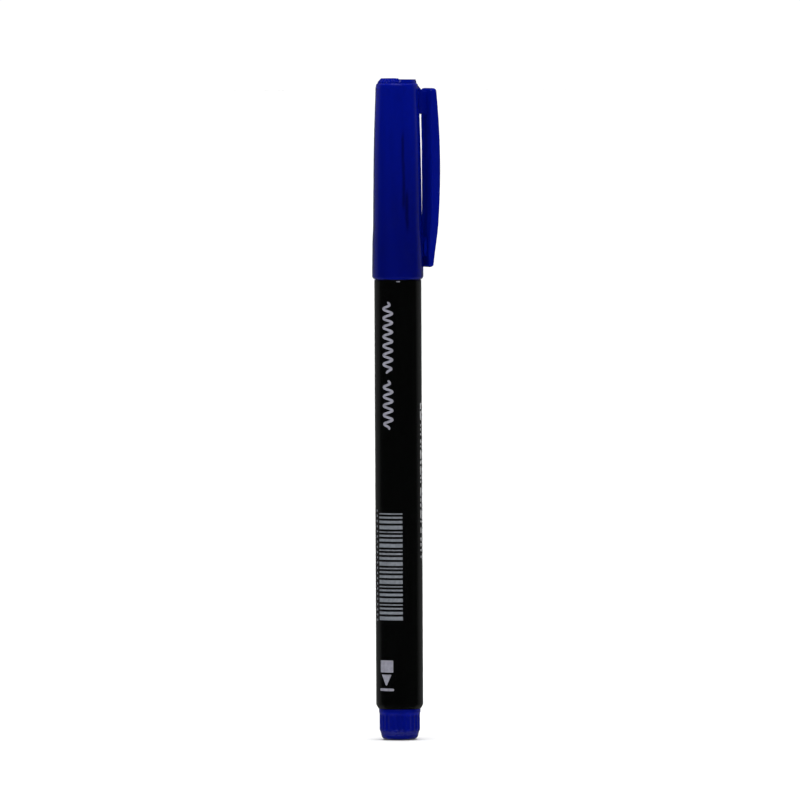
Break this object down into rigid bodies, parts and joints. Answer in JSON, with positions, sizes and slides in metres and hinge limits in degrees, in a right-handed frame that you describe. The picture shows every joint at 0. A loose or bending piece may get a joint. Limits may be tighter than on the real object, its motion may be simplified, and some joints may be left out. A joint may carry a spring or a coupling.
{
  "type": "felt tip marker",
  "caption": "Slim capped felt tip marker: round black barrel, fluted end plug, tapered blue pull-off cap with a bowed spring pocket clip and a vented end.",
  "frame": {"origin": "centre of the end plug's flat face, which the marker stands on", "axes": "+Z along the pen's axis from the end plug to the cap's top, +X from the axis towards the pocket clip"},
  "size_m": [0.0139, 0.0108, 0.1394],
  "materials": {
    "barrel_black": "moulded black, semi-gloss",
    "section_black": "moulded black, satin",
    "cap_blue": "moulded deep blue, gloss",
    "nib_fibre": "bonded fibre, inked blue",
    "core_fibre": "bonded polyester fibre, soaked in blue ink",
    "film_clear": "thin clear film",
    "natural_plastic": "natural polyethylene, milky"
  },
  "bodies": {
    "pen_body": {"barrel": "barrel_black", "end_plug": "cap_blue", "front_section": "section_black", "writing_nib": "nib_fibre", "reservoir_core": "core_fibre", "reservoir_film": "film_clear", "breather_tube": "natural_plastic"},
    "cap": {"cap_body": "cap_blue", "cap_inner_liner": "natural_plastic", "cap_end_insert": "cap_blue"},
    "clip": {"pocket_clip": "cap_blue"}
  },
  "joints": [
    {"name": "cap_pull", "type": "slide", "parent": "pen_body", "child": "cap", "axis": [0, 0, 1], "range_m": [0, 0.045]},
    {"name": "clip_flex", "type": "hinge", "parent": "cap", "child": "clip", "pos_m": [0.0076, 0, 0.1311], "axis": [0, -1, 0], "range_deg": [0, 4], "stiffness_Nm_per_rad": 0.6}
  ]
}
